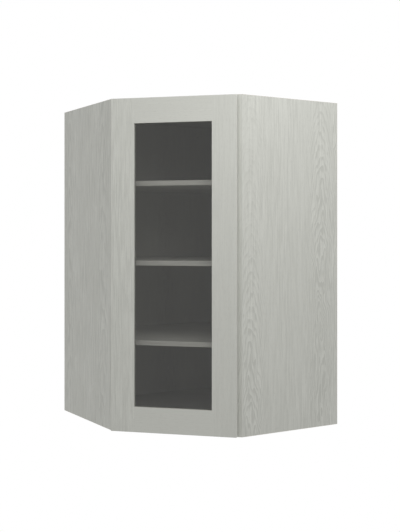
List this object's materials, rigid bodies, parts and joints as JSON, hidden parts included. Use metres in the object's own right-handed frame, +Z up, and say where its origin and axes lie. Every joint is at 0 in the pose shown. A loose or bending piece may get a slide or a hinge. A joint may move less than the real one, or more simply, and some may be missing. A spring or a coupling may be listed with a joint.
{
  "type": "corner wall cabinet",
  "caption": "Diagonal corner wall cabinet with a glazed frame door on concealed hinges, a face frame, shelves on pins and hanging rails for both walls of a corner.",
  "frame": {"origin": "the room's corner at the height of the cabinet's lower edge, where the two walls meet", "axes": "+Z up; the left wall is the plane X = 0 and the right wall the plane Y = 0; the cabinet stands in X > 0, Y < 0, with its diagonal front facing +X -Y"},
  "size_m": [0.6913, 0.6951, 1.0668],
  "materials": {
    "grey_wood_grain": "satin light grey with a fine straight wood grain",
    "grey_interior": "satin light grey board, as the outside",
    "bare_wood": "bare softwood",
    "glass": "clear float glass",
    "nickel_steel": "nickel plated",
    "spring_steel": "tempered strip",
    "bumper": "soft translucent dots"
  },
  "bodies": {
    "carcass": {"left_side_panel": "grey_wood_grain", "right_side_panel": "grey_wood_grain", "top_deck": "grey_interior", "bottom_deck": "grey_interior", "left_back_panel": "grey_interior", "right_back_panel": "grey_interior", "left_lower_hanging_rail": "bare_wood", "left_upper_hanging_rail": "bare_wood", "right_lower_hanging_rail": "bare_wood", "right_upper_hanging_rail": "bare_wood", "left_corner_cleat": "bare_wood", "right_corner_cleat": "bare_wood", "frame_left_stile": "grey_wood_grain", "frame_right_stile": "grey_wood_grain", "frame_top_rail": "grey_wood_grain", "frame_bottom_rail": "grey_wood_grain", "lower_shelf": "grey_interior", "middle_shelf": "grey_interior", "upper_shelf": "grey_interior", "lower_shelf_pins": "nickel_steel", "middle_shelf_pins": "nickel_steel", "upper_shelf_pins": "nickel_steel", "lower_hinge_arm": "nickel_steel", "middle_hinge_arm": "nickel_steel", "upper_hinge_arm": "nickel_steel", "hinge_arm_screws": "nickel_steel"},
    "door": {"door_left_stile": "grey_wood_grain", "door_right_stile": "grey_wood_grain", "door_top_rail": "grey_wood_grain", "door_bottom_rail": "grey_wood_grain", "glass_pane": "glass", "bottom_glazing_bead": "grey_wood_grain", "right_glazing_bead": "grey_wood_grain", "top_glazing_bead": "grey_wood_grain", "left_glazing_bead": "grey_wood_grain", "door_bumpers": "bumper", "lower_hinge_cup": "nickel_steel", "middle_hinge_cup": "nickel_steel", "upper_hinge_cup": "nickel_steel", "hinge_pins": "nickel_steel", "hinge_springs": "spring_steel", "hinge_cup_screws": "nickel_steel"}
  },
  "joints": [
    {"name": "door_swing", "type": "hinge", "parent": "carcass", "child": "door", "pos_m": [0.39953, -0.68283, 0.5334], "axis": [0, 0, -1], "range_deg": [0, 105]}
  ]
}
